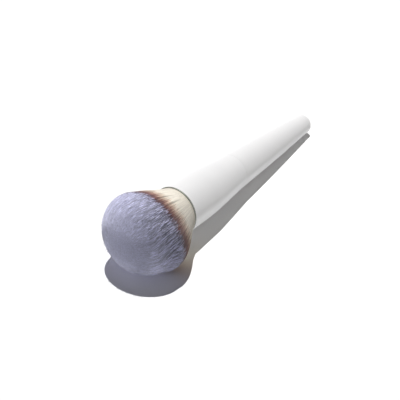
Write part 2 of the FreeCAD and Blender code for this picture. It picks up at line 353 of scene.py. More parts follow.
# %% [markdown]
# ## Bare metal at the mouth
#
# The lacquer stops a little behind the lip, so the rim of the tube and its inside are bare metal. Its
# colour is painted far darker than bare aluminium: partly the metal, partly painted shade of the gap
# between tube and fibres. The rim shows as the thin grey-olive line where the fibres come out. The mesh
# is one piece, so the faces on the rim and inside get a second material. They are picked by where they
# are: near the mouth's plane, or facing the axis.

# %% Bare aluminium, painted dark with the shade of the gap
bare_metal_and_gap_shade, nodes, links = new_material("bare_metal_and_gap_shade")
adjust(nodes["Principled BSDF"], Metallic=1.0)
wear = object_noise(nodes, links, scale=500, detail=4)
# partly the metal's own colour, partly painted shade of the gap at the mouth
tint_by(nodes, links, wear, [(0.35, (0.17, 0.175, 0.155)), (0.65, (0.25, 0.255, 0.235))])
roughen_by(nodes, links, wear, least=0.35, most=0.55)
ferrule_tube.data.materials.append(bare_metal_and_gap_shade)

bare = 0
for face in ferrule_tube.data.polygons:
    offset = face.center - tip
    station = offset.dot(along)
    outward = offset - along * station
    on_lip = station < MOUTH + BARE_RIM
    inside = face.normal.dot(outward) < 0
    if on_lip or inside:
        face.material_index = 1
        bare += 1
print("bare faces on the ferrule:", bare)

# %% [markdown]
# ## Resin
#
# The plug and the ring of glue are never seen, but they are real pieces, so they get a finish too:
# cast resin, amber and slightly cloudy.

# %% Cast resin
resin, nodes, links = new_material("cast_resin")
cloud = object_noise(nodes, links, scale=300, detail=3)
tint_by(nodes, links, cloud, [(0.3, (0.62, 0.52, 0.33)), (0.7, (0.74, 0.66, 0.46))])
adjust(nodes["Principled BSDF"], Roughness=0.4)
for node in ("resin_plug", "tenon_glue"):
    frame["nodes"][node].data.materials.clear()
    frame["nodes"][node].data.materials.append(resin)

# %% [markdown]
# ## The shape of the tuft
#
# The tuft is cut to a dome in front of its widest ring, and behind it the flank runs in to the mouth of
# the ferrule. The brush rests on the tuft, so its weight spreads the fibres of the lower flank to both
# sides: from the front the head looks almost like a ball. These shapes follow the solid's closely.
#
# One function gives the radius of the outside at any station and angle from the bottom. Everything that
# is planted later asks it where to be.

# %% The outside of the tuft
TUFT_RADIUS = 18.3 * MM
WIDEST_AT = 14.3 * MM
ROOT_RADIUS = 10.4 * MM
FLANK_CURVE = 1.1          # over 1, the flank is a little hollow
SPREAD = 3.6 * MM
SPREAD_AT_BOTTOM = 0.25    # share of the spread that is left under the middle
SPREAD_PEAK = 1.87         # what spread_share would give at its highest, if it weren't divided by this
SPREAD_FORWARD = 0.64      # under 1, the fullest place lies nearer to the widest ring


def spread_share(turn):
    """How much the flank spreads at an angle from the bottom: most at the lower sides, none on top."""
    sides = SPREAD_AT_BOTTOM + (1 - SPREAD_AT_BOTTOM) * np.sin(turn) ** 2
    return sides * (1 + np.cos(turn)) ** 2 / SPREAD_PEAK


def flank_radius(station, turn):
    """Radius of the outside behind the widest ring, and of the bundle's envelope in front of it."""
    share = np.clip((station - WIDEST_AT) / (MOUTH - WIDEST_AT), 0, 1)
    spread = SPREAD * spread_share(turn) * np.sin(math.pi * share ** SPREAD_FORWARD)
    return TUFT_RADIUS + (ROOT_RADIUS - TUFT_RADIUS) * share ** FLANK_CURVE + spread


def dome_radius(station):
    """Radius of the outside in front of the widest ring."""
    back = np.clip(1 - station / WIDEST_AT, 0, 1)
    return TUFT_RADIUS * np.sqrt(1 - back ** 2)


def placed(station, radius, turn):
    """Places on the table of points given by station, radius and angle from the bottom."""
    local = np.stack((station, radius * np.sin(turn), -radius * np.cos(turn)), axis=-1)
    turned = local @ np.array(lie_down.to_3x3()).T
    return turned + np.array(lie_down.translation)


# %% [markdown]
# ## The heart of the tuft
#
# Real fibres fill the whole head. Only the outer ones can be seen, so inside them sits a plain heart in
# the same dyes, just under their tips. It closes the gaps between fibres with the dyes, painted darker as
# the shade in the gaps, and stops light from shining through. It is turned like the ferrule, then its
# rings are eased out to follow the spread flank, and pressed flat where it would go through the table.

# %% Turn the heart
CROWN_DEPTH = 0.24 * MM
SHOULDER_DEPTH = 0.5 * MM
FLANK_DEPTH = 0.3 * MM
DEPTH_CHANGE = 4 * MM     # how far behind the widest ring the flank's depth is reached
CROWN_END = 1 * MM        # station where the crown starts to pass into the shoulder
CROWN_FADE = 8 * MM       # and the length that this takes
HEART_ROOT = 6 * MM       # how far the heart goes down the ferrule
ON_TABLE = 0.12 * MM      # how high the heart stays above the table
DOME_RINGS = 22
FLANK_RINGS = 20
RING_GAP = 1.2 * MM       # from the widest ring to the flank's first


def strength(station):
    """How loose the fibres stand: hardly on the crown, fully on the shoulder."""
    share = np.clip((station - CROWN_END) / CROWN_FADE, 0, 1)
    return share * share * (3 - 2 * share)


def heart_depth(station):
    """How far the heart lies under the tips."""
    behind = np.clip((station - WIDEST_AT) / DEPTH_CHANGE, 0, 1)
    dome_depth = CROWN_DEPTH + (SHOULDER_DEPTH - CROWN_DEPTH) * strength(station)
    return dome_depth + (FLANK_DEPTH - SHOULDER_DEPTH) * behind


heart_outline = []
for angle in np.radians(np.linspace(0, 90, DOME_RINGS)):
    station = WIDEST_AT * (1 - math.cos(angle))
    depth = float(heart_depth(station))
    heart_outline.append((station + depth * math.cos(angle), (TUFT_RADIUS - depth) * math.sin(angle)))
for station in np.linspace(WIDEST_AT + RING_GAP, MOUTH, FLANK_RINGS):
    heart_outline.append((station, float(flank_radius(station, math.pi) - heart_depth(station))))
heart_outline += [(MOUTH + HEART_ROOT, ROOT_RADIUS - FLANK_DEPTH), (MOUTH + HEART_ROOT, 0)]
tuft_heart = turn("tuft_heart", heart_outline)
corners = np.array([corner.co for corner in tuft_heart.data.vertices])
heart_stations = corners[:, 0]
heart_turns = np.arctan2(corners[:, 1], -corners[:, 2])
heart_radii = np.linalg.norm(corners[:, 1:], axis=1)
eased = flank_radius(heart_stations, heart_turns) / flank_radius(heart_stations, math.pi)
on_table = placed(heart_stations, heart_radii * eased, heart_turns)
on_table[:, 2] = np.maximum(on_table[:, 2], ON_TABLE)
tuft_heart.data.vertices.foreach_set("co", on_table.astype(np.float32).ravel())
tuft_heart.data.shade_smooth()
tuft_heart.data.update()

# %% [markdown]
# ## One fibre
#
# A synthetic fibre is a smooth, tapered filament. One is modelled here, standing for all: a three-sided
# stem, extruded as on the lathe and scaled in to a point. Three sides are enough, because a fibre is only
# about a fifth of a millimetre thick. It is one unit long and one unit in radius, so it can be planted at
# any size.
#
# The tips on the dome only show their last millimetre, so a short fibre does for them. A fibre of the
# flank shows its whole length and has to bend, so its model has more rings.

# %% Model one fibre
FIBRE_SIDES = 3
POINT = (1.0, 0.001)      # the last ring of every fibre, merged into a point


def model_fibre(name, rings):
    """A three-sided tapered stem along X. Each ring is (place along it, radius); the point is at 1."""
    fibre = extrude_rings(name, rings + [POINT], FIBRE_SIDES, fill_type="NGON")
    bpy.ops.mesh.merge(type="CENTER")
    bpy.ops.mesh.select_all(action="SELECT")
    bpy.ops.mesh.normals_make_consistent(inside=False)
    bpy.ops.object.mode_set(mode="OBJECT")
    print(name, "has", len(fibre.data.vertices), "corners and", len(fibre.data.polygons), "faces")
    return fibre


short_fibre = model_fibre("short_fibre", [(0, 1.0), (0.85, 0.8)])
nap_fibre = model_fibre("nap_fibre", [(0, 1.0), (0.25, 1.0), (0.7, 0.9)])
long_fibre = model_fibre("long_fibre", [(0, 1.0), (0.25, 1.0), (0.5, 1.0), (0.75, 0.95), (0.9, 0.8)])

# %% [markdown]
# ## Planting fibres
#
# Tens of thousands of fibres can't be placed by hand, so each is a copy of the model that is bent along
# its own path. A path is a row of points, one for each ring of the model, from the root to the tip.
# numpy moves all the copies at once, and they become one mesh with all its own corners.
#
# Each copy also gets a place in a UV map: across the map runs its tone, from dark to light, and up the
# map its place along the dyed length. The dye needs nothing else, and it stays with the fibre.
#
# A real tuft is soft, because light goes through the fine tips and comes out all round. Opaque stems
# would look like gravel. So the corners carry normals that lean from the stem's own towards the smooth
# outside of the tuft, and the light sees the round head first and its fibres second.

# %% Plant copies along paths
MAP_EDGE = 0.005               # the map's places stay this far inside its edge
STEM_ON_MAP = 0.01             # how wide a stem is on the map
NO_FIBRE = (0.31, 0.87, 0.38)  # a direction that no fibre has
END_LEAN = 0.02                # how much a stem's own normals lean towards its tip


def write_map(mesh, places):
    """Store a place for every corner, in the map that the dye reads and in a second one named OFBake."""
    corner_of = np.zeros(len(mesh.loops), np.int32)
    mesh.loops.foreach_get("vertex_index", corner_of)
    spots = np.clip(places[corner_of], MAP_EDGE, 1 - MAP_EDGE).astype(np.float32).ravel()
    for name in ("along_fibre", "OFBake"):
        layer = mesh.uv_layers.new(name=name)
        layer.data.foreach_set("uv", spots)


def unit(vectors):
    return vectors / np.linalg.norm(vectors, axis=-1, keepdims=True)


def plant(name, model, paths, stem_radius, tones, dye_places, outward, softness):
    """One mesh of copies of a fibre. Paths, tones and dye places have a value for each ring and the tip."""
    shape = np.array([corner.co for corner in model.data.vertices])
    levels = np.unique(np.round(shape[:, 0], 4))
    level_of = np.array([np.argmin(np.abs(levels - x)) for x in shape[:, 0]])
    heading = unit(paths[:, -1] - paths[:, 0])
    sideways = unit(np.cross(heading, NO_FIBRE))
    over = np.cross(heading, sideways)
    from_stem = shape[None, :, 1, None] * sideways[:, None] + shape[None, :, 2, None] * over[:, None]
    corners = paths[:, level_of] + stem_radius[:, None, None] * from_stem
    count = len(shape)
    starts = np.arange(len(paths)) * count
    faces = [face.vertices[:] for face in model.data.polygons]
    sizes = np.tile([len(face) for face in faces], len(paths))
    loops = (starts[:, None] + np.concatenate(faces)[None, :]).ravel()

    mesh = bpy.data.meshes.new(name)
    mesh.vertices.add(corners.shape[0] * count)
    mesh.vertices.foreach_set("co", corners.astype(np.float32).ravel())
    mesh.loops.add(len(loops))
    mesh.loops.foreach_set("vertex_index", loops.astype(np.int32))
    mesh.polygons.add(len(sizes))
    mesh.polygons.foreach_set("loop_start", np.concatenate(([0], np.cumsum(sizes)[:-1])).astype(np.int32))
    mesh.update(calc_edges=True)
    mesh.validate()
    mesh.shade_smooth()
    across_map = tones[:, level_of] + STEM_ON_MAP * shape[None, :, 1]
    up_map = dye_places[:, level_of] / MOUTH
    write_map(mesh, np.stack((across_map, up_map), axis=-1).reshape(-1, 2))
    own = unit(from_stem + END_LEAN * heading[:, None])
    soft = unit(own + (outward[:, None] - own) * softness[:, None, None])
    mesh.normals_split_custom_set_from_vertices(soft.reshape(-1, 3).astype(np.float32))
    piece = bpy.data.objects.new(name, mesh)
    bpy.context.scene.collection.objects.link(piece)
    print(name, "has", len(paths), "fibres and", len(mesh.polygons), "faces")
    return piece


# %% [markdown]
# ## Where the crown's tips are
#
# On the crown the fibres are seen nearly end on, and the head looks like velvet. Cut across, the bundle is
# a disc packed with fibres. A sunflower's rule packs a disc evenly: each fibre turns on by the golden
# angle, and the next is a little further out. Its share of the bundle's radius says where its tip ends on
# the dome.

# %% Pack a disc with fibres
rng = np.random.default_rng(7)
GOLDEN = math.pi * (3 - math.sqrt(5))
CROWN_FIBRES = 30000
CROWN_SHARE = 0.86      # how much of the bundle's radius the crown takes up
FAN = 0.20              # how much the edge of the bundle still widens in front of the widest ring
DISC_SCATTER = 20       # how many places a fibre may lie off its turn in the sunflower's order
TURN_SCATTER = 0.02     # and how far off in angle
DOME_SAMPLES = 2000


def fan_radius(station, turn):
    """Radius of the bundle if no tip were short: the flank, and the fan in front of it."""
    return flank_radius(station, turn) + FAN * np.maximum(WIDEST_AT - station, 0)


dome_stations = np.linspace(0, WIDEST_AT, DOME_SAMPLES)
dome_shares = dome_radius(dome_stations) / fan_radius(dome_stations, 0)
order = (np.arange(CROWN_FIBRES) + 0.5 + rng.normal(0, DISC_SCATTER, CROWN_FIBRES)) / CROWN_FIBRES
crown_shares = CROWN_SHARE * np.sqrt(np.clip(order, 0, 1))
crown_turns = (np.arange(CROWN_FIBRES) * GOLDEN + rng.normal(0, TURN_SCATTER, CROWN_FIBRES)) % (2 * math.pi)
crown_back = np.interp(CROWN_SHARE, dome_shares, dome_stations)
print("the crown ends", round(crown_back / MM, 1), "mm from the tip")

# %% [markdown]
# Fibres that lie on the outside have to know which way it faces, and none may go through the table. These
# helpers serve the crown, the shoulder and the flank.

# %% Which way the outside faces
SLIGHT = 1e-9           # a length short enough to give a direction and no more
ABOVE_TABLE = 0.05 * MM


def outside_radius(station, turn):
    return np.where(station < WIDEST_AT, dome_radius(station), flank_radius(station, turn))


def outward_at(station, turn):
    """Normals of the tuft's smooth outside."""
    ahead = np.maximum(WIDEST_AT - station, 0) / WIDEST_AT ** 2
    out = outside_radius(station, turn) / TUFT_RADIUS ** 2
    middle = placed(station, 0 * station, turn)
    return unit(placed(station - ahead * SLIGHT, out * SLIGHT, turn) - middle)


def clear_table(paths, stem_radius):
    """Keep fibres above the table."""
    paths[..., 2] = np.maximum(paths[..., 2], ABOVE_TABLE + stem_radius[:, None])
    return paths


# %% [markdown]
# ## The crown
#
# Each fibre of the crown runs from its tip straight back into the heart, along the fan of the bundle. A few
# thin ones stand out further than the rest. They are what blurs the edge of the head.

# %% Plant the crown
CROWN_LENGTH = 1.8 * MM
CROWN_HEIGHT = 0.04 * MM      # how much the tips vary in height
CROWN_STEMS = (0.08, 0.11)    # radii of the stems, in mm
CROWN_TONE = 0.57
CROWN_TONE_VARIES = 0.10
CROWN_SOFTNESS = 0.8          # how far the normals lean to the smooth outside
STRAY_SHARE = 0.03
STRAY_HEIGHT = 0.35 * MM
STRAY_THIN = 0.6
DYE_RAGGED = 1.0 * MM         # how much the dye's place varies from fibre to fibre


def crown_fibres(name, shares, turns):
    """Plant fibres that end on the crown."""
    count = len(shares)
    stations = np.interp(shares, dome_shares, dome_stations)
    stray = rng.random(count) < STRAY_SHARE
    height = rng.normal(0, CROWN_HEIGHT, count) + stray * rng.exponential(STRAY_HEIGHT, count)
    levels = (0.0, 0.85, 1.0)
    points, dye = [], []
    for level in levels:
        station = stations + CROWN_LENGTH * (1 - level)
        points.append(placed(station - height, shares * fan_radius(station, turns), turns))
        dye.append(station)
    paths = np.stack(points, axis=1)
    dye = np.stack(dye, axis=1) + rng.normal(0, DYE_RAGGED, count)[:, None]
    stem_radius = rng.uniform(*CROWN_STEMS, count) * MM * np.where(stray, STRAY_THIN, 1)
    tones = np.repeat(CROWN_TONE + rng.normal(0, CROWN_TONE_VARIES, (count, 1)), len(levels), axis=1)
    softness = np.full(count, CROWN_SOFTNESS)
    return plant(name, short_fibre, clear_table(paths, stem_radius), stem_radius, tones, dye,
                 outward_at(stations, turns), softness)


tuft_pieces = [tuft_heart]
for part in range(2):
    tuft_pieces.append(crown_fibres(f"crown_fibres_{part + 1}", crown_shares[part::2], crown_turns[part::2]))

# %% [markdown]
# ## The shoulder
#
# Away from the crown the fibres are seen from the side. Their ends lie over each other along the outside
# like a combed nap. To lay them there, the outside is measured along its curve, from the tip back. A length
# along it then gives a station, and the area in front of that station spreads the fibres evenly, again by
# the golden angle.

# %% Measure along the outside
SHOULDER_FRONT = 1.2 * MM
SHOULDER_BACK = WIDEST_AT + 4 * MM
FINE_SAMPLES = 4000

fine = np.linspace(0, SHOULDER_BACK, FINE_SAMPLES)
fine_radius = outside_radius(fine, math.pi)
fine_step = np.hypot(np.diff(fine), np.diff(fine_radius))
fine_length = np.concatenate(([0], np.cumsum(fine_step)))
fine_area = np.concatenate(([0], np.cumsum(fine_step * (fine_radius[1:] + fine_radius[:-1]))))
print("from the tip to the end of the shoulder along the outside, mm:", round(fine_length[-1] / MM, 1))


def spread_out(count, scatter):
    """Lengths from the tip and angles of points spread evenly over the shoulder."""
    first = np.interp(SHOULDER_FRONT, fine, fine_area)
    order = (np.arange(count) + 0.5 + rng.normal(0, scatter, count)) / count
    area = first + np.clip(order, 0, 1) * (fine_area[-1] - first)
    angle = (np.arange(count) * GOLDEN + rng.normal(0, TURN_SCATTER, count)) % (2 * math.pi)
    return np.interp(area, fine_area, fine_length), angle


def on_outside(length, turn, depth):
    """Places at a length along the outside from the tip, and at a depth under it."""
    station = np.interp(length, fine_length, fine)
    outward = outward_at(station, turn)
    return placed(station, outside_radius(station, turn), turn) - outward * depth[:, None], station


# %% [markdown]
# Handling has swept the tips towards one side. The lean starts behind the widest ring, is strongest on the
# shoulder, and dies out on the crown, where the fibres are seen end on.

# %% The sweep of the nap
SWEEP = 1.6                     # how far aside a tip lies, as a share of its way forward
SWEPT_TO = math.radians(43)     # the side that tips lean to, as an angle from the bottom
SWEEP_END = 16 * MM             # station where the lean starts
SWEEP_FULL = 5 * MM             # station from which it is full


def swept_turn(length, turns, forward):
    """The angle that a fibre has reached a distance further forward, as its tip leans to one side."""
    station = np.interp(length, fine_length, fine)
    sweep = SWEEP * strength(station) * np.clip((SWEEP_END - station) / (SWEEP_END - SWEEP_FULL), 0, 1)
    return turns - sweep * forward * np.sin(turns - SWEPT_TO) / TUFT_RADIUS


# %% [markdown]
# ## Locks
#
# Fibres stick together in locks that are much longer than wide. Here a lock is only a point on the outside.
# Each fibre joins the nearest one, where distance across the nap counts four times as much as distance
# along it. A tree of points finds the near ones fast.

# %% Join the fibres into locks
SHOULDER_FIBRES = 24000
SHOULDER_LOCKS = 11000
LOCK_SCATTER = 3
NEAR_LOCKS = 20            # how many locks a fibre chooses from
LANE = 4.0                 # how much longer a lock is than wide
WAY_STEP = 0.3 * MM        # the way of the nap is taken over this length


def join_locks(length, turns):
    """The lock that each fibre sticks to, and how far aside it lies."""
    here = on_outside(length, turns, 0 * length)[0]
    ahead = on_outside(length - WAY_STEP, swept_turn(length, turns, WAY_STEP), 0 * length)[0]
    way = unit(ahead - here)
    near = np.array([[number for _, number, _ in locks.find_n(point, NEAR_LOCKS)] for point in here])
    apart = lock_points[near] - here[:, None]
    along_way = np.sum(apart * way[:, None], axis=2)
    beside = apart - along_way[:, :, None] * way[:, None]
    chosen = np.argmin((along_way / LANE) ** 2 + np.sum(beside ** 2, axis=2), axis=1)
    every = np.arange(len(length))
    round_way = np.cross(way, outward_at(np.interp(length, fine_length, fine), turns))
    aside = np.sum(beside[every, chosen] * round_way, axis=1) / TUFT_RADIUS
    return near[every, chosen], aside


nap_length, nap_turns = spread_out(SHOULDER_FIBRES, DISC_SCATTER)
lock_length, lock_turns = spread_out(SHOULDER_LOCKS, LOCK_SCATTER)
lock_points = on_outside(lock_length, lock_turns, 0 * lock_length)[0]
locks = KDTree(SHOULDER_LOCKS)
for number, point in enumerate(lock_points):
    locks.insert(point, number)
locks.balance()
nap_lock, nap_aside = join_locks(nap_length, nap_turns)
print("fibres in a lock, on average:", round(SHOULDER_FIBRES / len(np.unique(nap_lock)), 1))

# %% [markdown]
# All the fibres of a lock share its tone, its height and its place in the dye. A few locks are light among
# many that are darker, which gives fine pale streaks and not a chequered head. A lock that lies deeper is
# also painted darker, as painted shade.

# %% Give each lock its tone, height and dye
LOCK_CONTRAST = 1.25
# painted shade: how much darker a deeper lock is painted
DEEP_LOCK_PAINTED_SHADE = 0.08
LOCK_DEPTH = 0.12 * MM     # how much locks vary in height
LOCK_RAGGED = 0.5 * MM     # how much the dye's place varies from lock to lock

lock_depth = rng.normal(0, LOCK_DEPTH, SHOULDER_LOCKS)
few_light = rng.random(SHOULDER_LOCKS) ** 2 - 1 / 3
# random lock tone, with painted shade on the deeper locks
lock_tone = LOCK_CONTRAST * few_light - DEEP_LOCK_PAINTED_SHADE * lock_depth / LOCK_DEPTH
lock_dye = rng.normal(0, LOCK_RAGGED, SHOULDER_LOCKS)
print("tones of the locks, from and to:", round(lock_tone.min(), 2), round(lock_tone.max(), 2))

# %% [markdown]
# Each fibre comes out of the heart, and its last few millimetres follow the outside. One side of the nap
# gets painted shade: it is painted darker, and its locks get painted shade and highlight in their tones,
# so its streaks stand out most, above all far back. Near the crown the locks hardly show.

# %% Plant the shoulder
NAP_SHORT = 0.8 * MM              # how much of a fibre lies along the outside, near the crown
NAP_LONG = 3.0 * MM               # and on the shoulder
NAP_VARIES = (0.7, 1.3)
NAP_RISE = 0.14 * MM              # how far its tip stands out
NAP_STEMS = (0.065, 0.095)        # radii of the stems, in mm
NAP_PATH = ((-0.35, -6.5), (0.0, -0.7), (0.6, 0.0), (1.0, 1.0))    # (way forward, rise), root to tip
TIP_GAP = 0.1 * MM                # no fibre reaches nearer to the very tip
COMBED_TO = 0.05 * MM             # the nap lies between these depths
COMBED_FROM = 0.35 * MM
SHALLOWEST = 0.02 * MM
CLING = 0.35                      # how far a fibre's tip is drawn towards its lock
PAINTED_SHADE_AT = math.radians(-116)    # the side that is given painted shade, as an angle from the bottom
FAR_BACK_FROM = 8 * MM            # station where the shaded side starts to gain more painted contrast
FAR_BACK_OVER = 8 * MM            # and the length that this takes
CROWN_CONTRAST = 0.15             # contrast between the locks, near the crown
SHOULDER_CONTRAST = 0.2           # more of it on the shoulder
PAINTED_SHADE_CONTRAST = 0.65            # painted shade and highlight between the locks on the shaded side
FAR_BACK_SHADE_CONTRAST = 0.45          # and more of it far back
NAP_TONE = 0.58
SHOULDER_LIGHTER = 0.03
# painted shade: how much darker the shaded side is painted
PAINTED_SHADE_DARKER = 0.35
NAP_TONE_VARIES = 0.08
PAINTED_GLINT_SHARE = 0.05               # a few fibres get painted glints
PAINTED_GLINT_TONE = 0.3
DARK, LIGHT = 0.02, 0.98          # the darkest and the lightest tone on the map
NAP_SOFTNESS = 0.8                # how far the normals lean to the smooth outside, near the crown
SHOULDER_SHARPER = 0.3            # and how much less on the shoulder
DYE_SPREAD = 3.8 * MM             # how much further back the dye lies where the flank is spread


def nap_fibres(name, chosen):
    """Plant fibres whose ends lie along the outside."""
    length, turns, lock, aside = nap_length[chosen], nap_turns[chosen], nap_lock[chosen], nap_aside[chosen]
    count = len(chosen)
    station = np.interp(length, fine_length, fine)
    weight = strength(station)
    shaded_side = np.clip(np.cos(turns - PAINTED_SHADE_AT), 0, 1) ** 2
    far_back = np.clip((station - FAR_BACK_FROM) / FAR_BACK_OVER, 0, 1)
    lying = (NAP_SHORT + (NAP_LONG - NAP_SHORT) * weight) * rng.uniform(*NAP_VARIES, count)
    depth = rng.uniform(COMBED_TO, COMBED_FROM, count) + weight * lock_depth[lock]
    depth = np.maximum(depth, SHALLOWEST)
    points, dye = [], []
    for forward, rise in NAP_PATH:
        ahead = np.maximum(length - forward * lying, TIP_GAP)
        turn_here = swept_turn(length, turns, forward * lying) + CLING * weight * max(forward, 0) * aside
        sunk = depth - rise * NAP_RISE * np.where(rise > 0, weight, 1)
        point, station_here = on_outside(ahead, turn_here, sunk)
        points.append(point)
        dye.append(station_here - DYE_SPREAD * spread_share(turn_here))
    paths = np.stack(points, axis=1)
    dye = np.stack(dye, axis=1) + (lock_dye[lock] + rng.normal(0, DYE_RAGGED, count))[:, None]
    stem_radius = rng.uniform(*NAP_STEMS, count) * MM
    # Painted shade on one side: a darker tone, and more painted contrast between the locks there.
    contrast = CROWN_CONTRAST + weight * (SHOULDER_CONTRAST + PAINTED_SHADE_CONTRAST * shaded_side)
    contrast = contrast + FAR_BACK_SHADE_CONTRAST * shaded_side * far_back
    tones = NAP_TONE + SHOULDER_LIGHTER * weight - PAINTED_SHADE_DARKER * (weight * shaded_side) ** 2
    tones = tones + contrast * lock_tone[lock] + rng.normal(0, NAP_TONE_VARIES, count)
    # painted glints on a few fibres
    tones = tones + weight * PAINTED_GLINT_TONE * (rng.random(count) < PAINTED_GLINT_SHARE)
    tones = np.repeat(np.clip(tones, DARK, LIGHT)[:, None], len(NAP_PATH), axis=1)
    softness = NAP_SOFTNESS - SHOULDER_SHARPER * weight
    return plant(name, nap_fibre, clear_table(paths, stem_radius), stem_radius, tones, dye,
                 outward_at(station, turns), softness)


for part in range(2):
    tuft_pieces.append(nap_fibres(f"shoulder_fibres_{part + 1}", np.arange(part, SHOULDER_FIBRES, 2)))

# %% [markdown]
# The heart shows only in the gaps, where little light gets in. So its tone is painted shade: darker than
# the fibres, and darkest under the loose nap. It is dyed at the same stations.

# %% The heart's place in the dye, and its painted shade
HEART_SHADED_TONE = 0.35
UNDER_NAP_PAINTED_SHADE = 0.2

under_nap = strength(heart_stations) * (heart_stations < SHOULDER_BACK)
# painted shade: the heart is darker than the fibres, and darker still under the nap
heart_shaded_tones = HEART_SHADED_TONE - UNDER_NAP_PAINTED_SHADE * under_nap
heart_dye = heart_stations - DYE_SPREAD * spread_share(heart_turns)
write_map(tuft_heart.data, np.column_stack((heart_shaded_tones, heart_dye / MOUTH)))
print("tones of the heart, from and to:", round(heart_shaded_tones.min(), 2), round(heart_shaded_tones.max(), 2))

# %% [markdown]
# ## The fibres of the flank
#
# The outermost fibres can be followed all the way from the ferrule. They lie side by side over the flank,
# a few layers deep, and their tips end round the widest part, where the dome's own tips take over. Here a
# lock is a narrow strip of the flank, and its fibres draw together towards their tips.

# %% Plant the flank
FLANK_FIBRES = 5600
FLANK_LOCKS = 300
FLANK_ROOT = 2 * MM            # how far the fibres start inside the ferrule
FLANK_TIPS = (-0.5, 8)         # where they end, in mm behind the widest ring
FLANK_LAYER = (0.988, 0.998)   # how deep they lie, as a share of the outside's radius
FLANK_STEMS = (0.08, 0.12)     # radii of the stems, in mm
GATHER = 0.4                   # how far the tips of a lock draw together
LOCK_SHIFT = 0.03              # how far a lock's tips wander aside, in radians
OWN_SHIFT = 0.012              # and each fibre's
FLANK_TONE = 0.56
FLANK_TONE_VARIES = 0.1
FLANK_CONTRAST = 0.6
ROOT_CONTRAST = 0.15           # share of the contrast that is left at the roots
FLANK_SOFTNESS = 0.85

flank_levels = np.array([0, 0.25, 0.5, 0.75, 0.9, 1.0])
side_tone = rng.uniform(-0.5, 0.5, FLANK_LOCKS)
side_shift = rng.normal(0, LOCK_SHIFT, FLANK_LOCKS)
side_dye = rng.normal(0, LOCK_RAGGED, FLANK_LOCKS)


def flank_fibres(name, count):
    """Plant fibres that run from inside the ferrule over the flank."""
    turns = rng.uniform(0, 2 * math.pi, count)
    lock = (turns / (2 * math.pi) * FLANK_LOCKS).astype(int)
    lock_middle = (lock + 0.5) / FLANK_LOCKS * 2 * math.pi
    tips = WIDEST_AT + rng.uniform(*FLANK_TIPS, count) * MM
    root = MOUTH + FLANK_ROOT
    layer = rng.uniform(*FLANK_LAYER, count)
    own_shift = rng.normal(0, OWN_SHIFT, count)
    points, dye = [], []
    for level in flank_levels:
        station = root + (tips - root) * level
        gather = GATHER * level ** 2
        turn_here = turns + gather * (lock_middle - turns) + level ** 2 * (side_shift[lock] + own_shift)
        points.append(placed(station, layer * flank_radius(station, turn_here), turn_here))
        dye.append(station - DYE_SPREAD * spread_share(turn_here))
    paths = np.stack(points, axis=1)
    dye = np.stack(dye, axis=1) + (side_dye[lock] + rng.normal(0, DYE_RAGGED, count))[:, None]
    stem_radius = rng.uniform(*FLANK_STEMS, count) * MM
    contrast = ROOT_CONTRAST + (1 - ROOT_CONTRAST) * flank_levels ** 2
    own_tone = FLANK_CONTRAST * side_tone[lock] + rng.normal(0, FLANK_TONE_VARIES, count)
    tones = np.clip(FLANK_TONE + own_tone[:, None] * contrast, DARK, LIGHT)
    outward = unit(paths[:, 3] - placed(tips, 0 * tips, turns))
    softness = np.full(count, FLANK_SOFTNESS)
    return plant(name, long_fibre, clear_table(paths, stem_radius), stem_radius, tones, dye,
                 outward, softness)


for part in range(2):
    tuft_pieces.append(flank_fibres(f"flank_fibres_{part + 1}", FLANK_FIBRES // 2))
for model in (short_fibre, nap_fibre, long_fibre):
    bpy.data.objects.remove(model)

# %% [markdown]
# ## Dyed fibre
#
# The fibres are dyed in three zones along their length: ivory at the root, a brown band, and a cool
# lavender grey at the tip. A colour ramp up the map gives the zones. The band is ragged only because
# each fibre was dyed at a slightly different place. The tone across the map scales the dye: it makes some
# locks lighter at random, and it also carries painted shade and painted glints.

# %% Dye the fibres
IVORY = (0.95, 0.885, 0.77)
TAN = (0.62, 0.46, 0.35)
BROWN = (0.235, 0.092, 0.07)
MAROON = (0.105, 0.045, 0.06)
LAVENDER = (0.54, 0.54, 0.715)
LAVENDER_TIP = (0.59, 0.60, 0.79)
STIPPLE = 0.35          # how much of the tone is a fine mottle
SHADE, GLOW = 0.3, 1.6  # what the darkest and the lightest tone make of a dye

dyed_fibre, nodes, links = new_material("dyed_fibre")
surface = nodes["Principled BSDF"]
own_map = add(nodes, "ShaderNodeUVMap", uv_map="along_fibre")
split = nodes.new("ShaderNodeSeparateXYZ")
links.new(own_map.outputs["UV"], split.inputs["Vector"])
zones = ramp(nodes, [
    (0.0, LAVENDER_TIP), (0.30, LAVENDER), (0.39, LAVENDER), (0.44, MAROON),
    (0.525, BROWN), (0.60, TAN), (0.70, IVORY), (1.0, IVORY)])
links.new(split.outputs["Y"], zones.inputs["Fac"])
stipple = object_noise(nodes, links, scale=2600, detail=2)
spotted = add(nodes, "ShaderNodeMath", operation="MULTIPLY_ADD")
links.new(stipple, spotted.inputs[0])
spotted.inputs[1].default_value = STIPPLE
links.new(split.outputs["X"], spotted.inputs[2])
# the tone holds random lock tone as well as painted shade and painted glints
tone = add(nodes, "ShaderNodeMapRange", From_Min=0.5 * STIPPLE, From_Max=1 + 0.5 * STIPPLE,
           To_Min=SHADE, To_Max=GLOW)
links.new(spotted.outputs["Value"], tone.inputs["Value"])
shaded = add(nodes, "ShaderNodeVectorMath", operation="SCALE")
links.new(zones.outputs["Color"], shaded.inputs[0])
links.new(tone.outputs["Result"], shaded.inputs["Scale"])
links.new(shaded.outputs["Vector"], surface.inputs["Base Color"])
adjust(surface, Roughness=0.5, Specular_IOR_Level=0.3, Sheen_Weight=0.35, Sheen_Roughness=0.4)

for piece in tuft_pieces:
    piece.data.materials.clear()
    piece.data.materials.append(dyed_fibre)
    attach(piece, "root")
    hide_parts("bristle_tuft")

